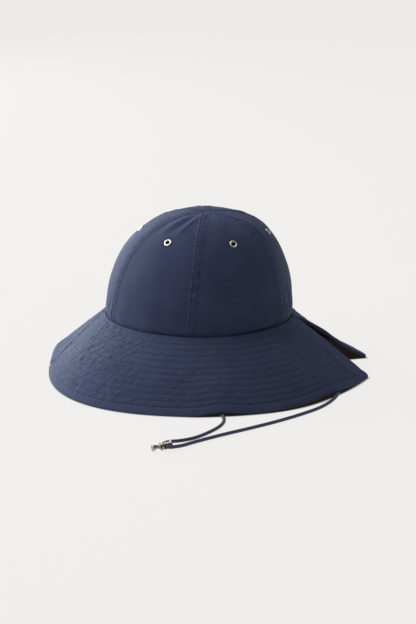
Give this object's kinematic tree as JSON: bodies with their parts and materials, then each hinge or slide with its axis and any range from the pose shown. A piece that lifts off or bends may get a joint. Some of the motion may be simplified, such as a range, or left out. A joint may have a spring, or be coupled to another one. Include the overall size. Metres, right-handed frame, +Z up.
{
  "type": "sun hat",
  "caption": "Wide-brimmed cloth sun hat with a panelled crown, eyelets, a brim slit at the back and a chin cord with a sprung lock.",
  "frame": {"origin": "on the surface that the hat rests on, under the middle of the hat's length and width without its cord", "axes": "+Z up, -Y towards the front of the hat, +Y towards the slit at the back, +X towards the wearer's left, where the cord and its lock lie"},
  "size_m": [0.3814, 0.3382, 0.1694],
  "materials": {
    "crown_cloth": "matt navy woven nylon",
    "brim_cloth": "matt navy woven nylon, stitched in rows",
    "cord": "braided round navy cord",
    "eyelet_metal": "nickel-coloured metal",
    "lock_metal": "nickel-coloured metal"
  },
  "bodies": {
    "root": {"crown_panel_1": "crown_cloth", "crown_panel_2": "crown_cloth", "crown_panel_3": "crown_cloth", "crown_panel_4": "crown_cloth", "crown_panel_5": "crown_cloth", "crown_panel_6": "crown_cloth", "eyelet_1": "eyelet_metal", "eyelet_2": "eyelet_metal", "eyelet_3": "eyelet_metal", "eyelet_4": "eyelet_metal", "eyelet_5": "eyelet_metal", "eyelet_6": "eyelet_metal", "brim_right": "brim_cloth", "brim_left": "brim_cloth", "cord_tab_right": "crown_cloth", "cord_tab_left": "crown_cloth", "chin_cord": "cord", "lock_barrel": "lock_metal"},
    "plunger": {"lock_plunger": "lock_metal"}
  },
  "joints": [
    {"name": "plunger_press", "type": "slide", "parent": "root", "child": "plunger", "axis": [-0.5, 0.866, 0], "range_m": [0, 0.0018], "stiffness_N_per_m": 250, "springref_m": -0.004}
  ]
}
